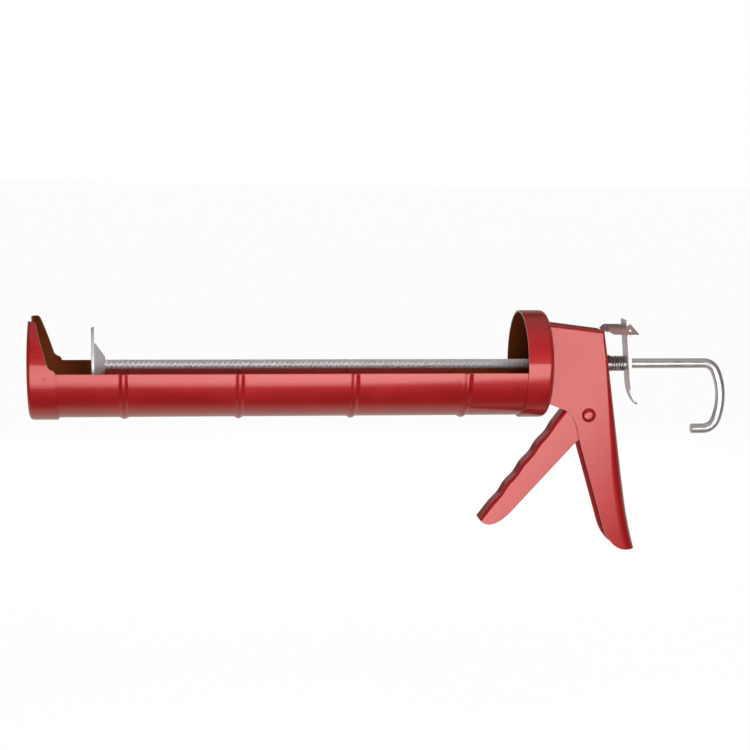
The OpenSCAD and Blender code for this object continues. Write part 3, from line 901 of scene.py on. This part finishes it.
def torsion_route(at, mean, y, pitch, turns, first, last, lead, tail):
    """A torsion spring's route round a Y axis at [x, z]: a straight leg, coils and a straight leg.

    first and last are the angles in degrees where the coils begin and end; lead and tail are
    the legs' far ends as [x, y, z].
    """
    route = [Vector(lead)]
    total = turns * 360 + last - first
    steps = int(total / 15)
    for i in range(steps + 1):
        angle = math.radians(first + total * i / steps)
        route.append(Vector((at[0] + mean * math.cos(angle), y + pitch * total * i / steps / 360,
                             at[1] + mean * math.sin(angle))))
    return route + [Vector(tail)]


def make_trigger_spring():
    gauge = 1.4
    mean = SLEEVE_BORE_R + 0.3 + gauge / 2
    coil_w = 8.6
    y = coil_w / 2 - gauge / 2
    web = on_trigger(22, TRIGGER_FRONT + SHEET + GROOVE_DEPTH + gauge / 2 + 0.3)
    wall = (handle_rear(-50) - SHEET - 1.2, -y, -50)
    top = 180 - math.degrees(TRIGGER_LEAN)
    route = torsion_route(PIVOT, mean, -y, 2 * y / 5.5, 5, 0, top, wall, (web[0], y, web[1]))
    made = wire("trigger_spring_coil", route, gauge / 2, "bare_steel")
    made.data.shade_smooth()
    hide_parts("trigger_spring")
    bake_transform(made)


def make_pawl_spring():
    gauge = 0.7
    mean = 2 + 0.25 + gauge / 2
    start = 2.3
    at = PAWL_AT
    lead = (at[0] - mean - 5.5, start + 2.8, at[1] - 4.5)
    tail = (at[0] - mean - 0.9, start + 0.4, at[1] + 8)
    route = torsion_route(at, mean, start + 2.8, -2.4 / 4, 4, 180, 180, lead, tail)
    made = wire("pawl_spring_coil", route, gauge / 2, "bare_steel", 10)
    made.data.shade_smooth()
    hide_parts("pawl_spring")
    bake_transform(made)


# ---------------------------------------------------------------- CAD nodes that stay
def dress(node, slot, width):
    """Gives a CAD node its finish, and rounds its edges with modifiers."""
    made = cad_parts[node]
    made.data.materials.clear()
    made.data.materials.append(MATERIALS[slot])
    weld = made.modifiers.new("weld", "WELD")
    weld.merge_threshold = 0.001 * MM
    edges(made, width, 30)


def dress_all():
    for node in ("rod_bush", "rear_eyelet", "pivot_sleeve", "drive_pawl", "pawl_pin"):
        dress(node, "bare_steel", 0.15)
    dress("lever_pin", "zinc_plate", 0.1)
    dress("cap_rivets", "red_enamel", 0.15)


# ---------------------------------------------------------------- studio
def flat(name, corners, colour, glow):
    """A matt stage surface that glows white."""
    data = bpy.data.meshes.new(name)
    data.from_pydata(corners, [], [(0, 1, 2, 3)])
    made = bpy.data.objects.new(name, data)
    bpy.context.scene.collection.objects.link(made)
    finish, _, shader = new_material(name)
    shader.inputs["Base Color"].default_value = colour
    shader.inputs["Roughness"].default_value = 0.9
    shader.inputs["Specular IOR Level"].default_value = 0.1
    shader.inputs["Emission Color"].default_value = (1, 1, 1, 1)
    shader.inputs["Emission Strength"].default_value = glow
    data.materials.append(finish)
    return made


def softbox(name, at, aim, size, power):
    """A soft rectangular lamp at a point, aimed at another."""
    lamp = bpy.data.lights.new(name, "AREA")
    lamp.shape = "RECTANGLE"
    lamp.size = size[0]
    lamp.size_y = size[1]
    lamp.energy = power
    made = bpy.data.objects.new(name, lamp)
    bpy.context.scene.collection.objects.link(made)
    made.location = at
    made.rotation_euler = (Vector(aim) - Vector(at)).to_track_quat("-Z", "Y").to_euler()
    made.visible_camera = False
    return made


def feather(made):
    """Lets a lamp's light fall away towards the left, the bottom and the lower right corner."""
    made.data.use_nodes = True
    tree = made.data.node_tree
    on_lamp = add(tree, "ShaderNodeNewGeometry").outputs["Position"]
    parts = add(tree, "ShaderNodeSeparateXYZ", {0: on_lamp}).outputs
    corner = add(tree, "ShaderNodeMath", {0: parts["X"], 1: parts["Z"]}, operation="SUBTRACT")
    left = ramp(tree, parts["X"], -0.70, 0.0, 0.6, 1)
    bottom = ramp(tree, parts["Z"], -0.50, -0.34, 0.1, 1)
    lower_right = ramp(tree, corner.outputs[0], 0.34, 0.49, 1, 0.02)
    strength = times(tree, times(tree, left, bottom), lower_right)
    tree.links.new(strength, tree.nodes["Emission"].inputs["Strength"])


def light_world():
    """The studio round the gun, by direction.

    It is pale behind the gun above the horizon, dark in front and below, and dim and warm
    overhead. The camera itself sees plain white.
    """
    world = bpy.data.worlds.new("studio")
    bpy.context.scene.world = world
    world.use_nodes = True
    tree = world.node_tree
    background = tree.nodes["Background"]
    toward = add(tree, "ShaderNodeTexCoord").outputs["Generated"]
    parts = add(tree, "ShaderNodeSeparateXYZ", {0: toward}).outputs
    behind = ramp(tree, parts["Y"], -0.05, 0.30, 0, 1)
    under = ramp(tree, parts["Z"], -0.10, 0.05, 1, 0)
    colour = blend_colour(tree, under, (0.05, 0.035, 0.035), (0.54, 0.50, 0.44))
    low_sky = times(tree, ramp(tree, parts["Z"], 0.09, 0.16, 0, 1),
                    ramp(tree, parts["Z"], 0.45, 0.60, 1, 0))
    colour = blend_colour(tree, low_sky, colour, (0.30, 0.27, 0.26))
    colour = blend_colour(tree, behind, (0.030, 0.026, 0.020), colour)
    overhead = ramp(tree, parts["Z"], 0.66, 0.90, 0, 1)
    colour = blend_colour(tree, overhead, colour, (0.36, 0.34, 0.30))
    seen = add(tree, "ShaderNodeLightPath").outputs["Is Camera Ray"]
    colour = blend_colour(tree, seen, colour, (1.0, 1.0, 1.0))
    tree.links.new(colour, background.inputs["Color"])
    background.inputs["Strength"].default_value = 1.0


def set_stage():
    floor_z = -0.30
    reach = 12
    corners = [(x * reach, y * reach, floor_z) for x, y in ((-1, -1), (1, -1), (1, 1), (-1, 1))]
    floor = flat("floor", corners, (0.05, 0.05, 0.05, 1), 0.96)
    floor.visible_diffuse = False
    floor.visible_glossy = False
    floor.visible_shadow = False
    main = softbox("front_low", (-0.10, -0.62, -0.20), (-0.13, 0, 0.02), (1.30, 0.60), 9)
    main.data.color = (1.0, 0.97, 0.92)
    feather(main)
    fill = softbox("front_fill", (0.05, -1.07, 0.62), (0, 0, 0), (0.8, 0.8), 10.2)
    back = softbox("back_fill", (-0.1, 1.3, 0.30), (-0.1, 0, 0), (1.2, 0.9), 9)
    for lamp in (fill, back):
        lamp.visible_glossy = False
    light_world()


def aim_camera():
    """The camera: where it looks, how far off it stands, and its lens."""
    azimuth = math.radians(-7.176)
    elevation = math.radians(8.331)
    roll = math.radians(0.865)
    target = Vector((-0.09443, 0, -0.00731))
    distance = 1.106
    level = math.cos(elevation)
    toward = Vector((-math.sin(azimuth) * level, math.cos(azimuth) * level, -math.sin(elevation)))
    right = toward.cross(Vector((0, 0, 1))).normalized()
    up = right.cross(toward)
    turned = math.cos(roll) * right + math.sin(roll) * up
    upright = math.cos(roll) * up - math.sin(roll) * right
    camera = bpy.data.objects.new("camera", bpy.data.cameras.new("camera"))
    bpy.context.scene.collection.objects.link(camera)
    camera.data.lens = 81.7
    camera.data.sensor_width = 36
    basis = Matrix((turned, upright, -toward)).transposed().to_4x4()
    camera.matrix_world = Matrix.Translation(target - distance * toward) @ basis
    bpy.context.scene.camera = camera


aim_camera()
set_stage()
bpy.context.scene.view_settings.view_transform = "Standard"

make_cradle()
make_front_cap()
make_rear_cap()
make_handle()
make_trigger()
make_trigger_rivet()
make_rod()
make_plunger()
make_lever()
make_bracket()
make_release_spring()
make_trigger_spring()
make_pawl_spring()
dress_all()
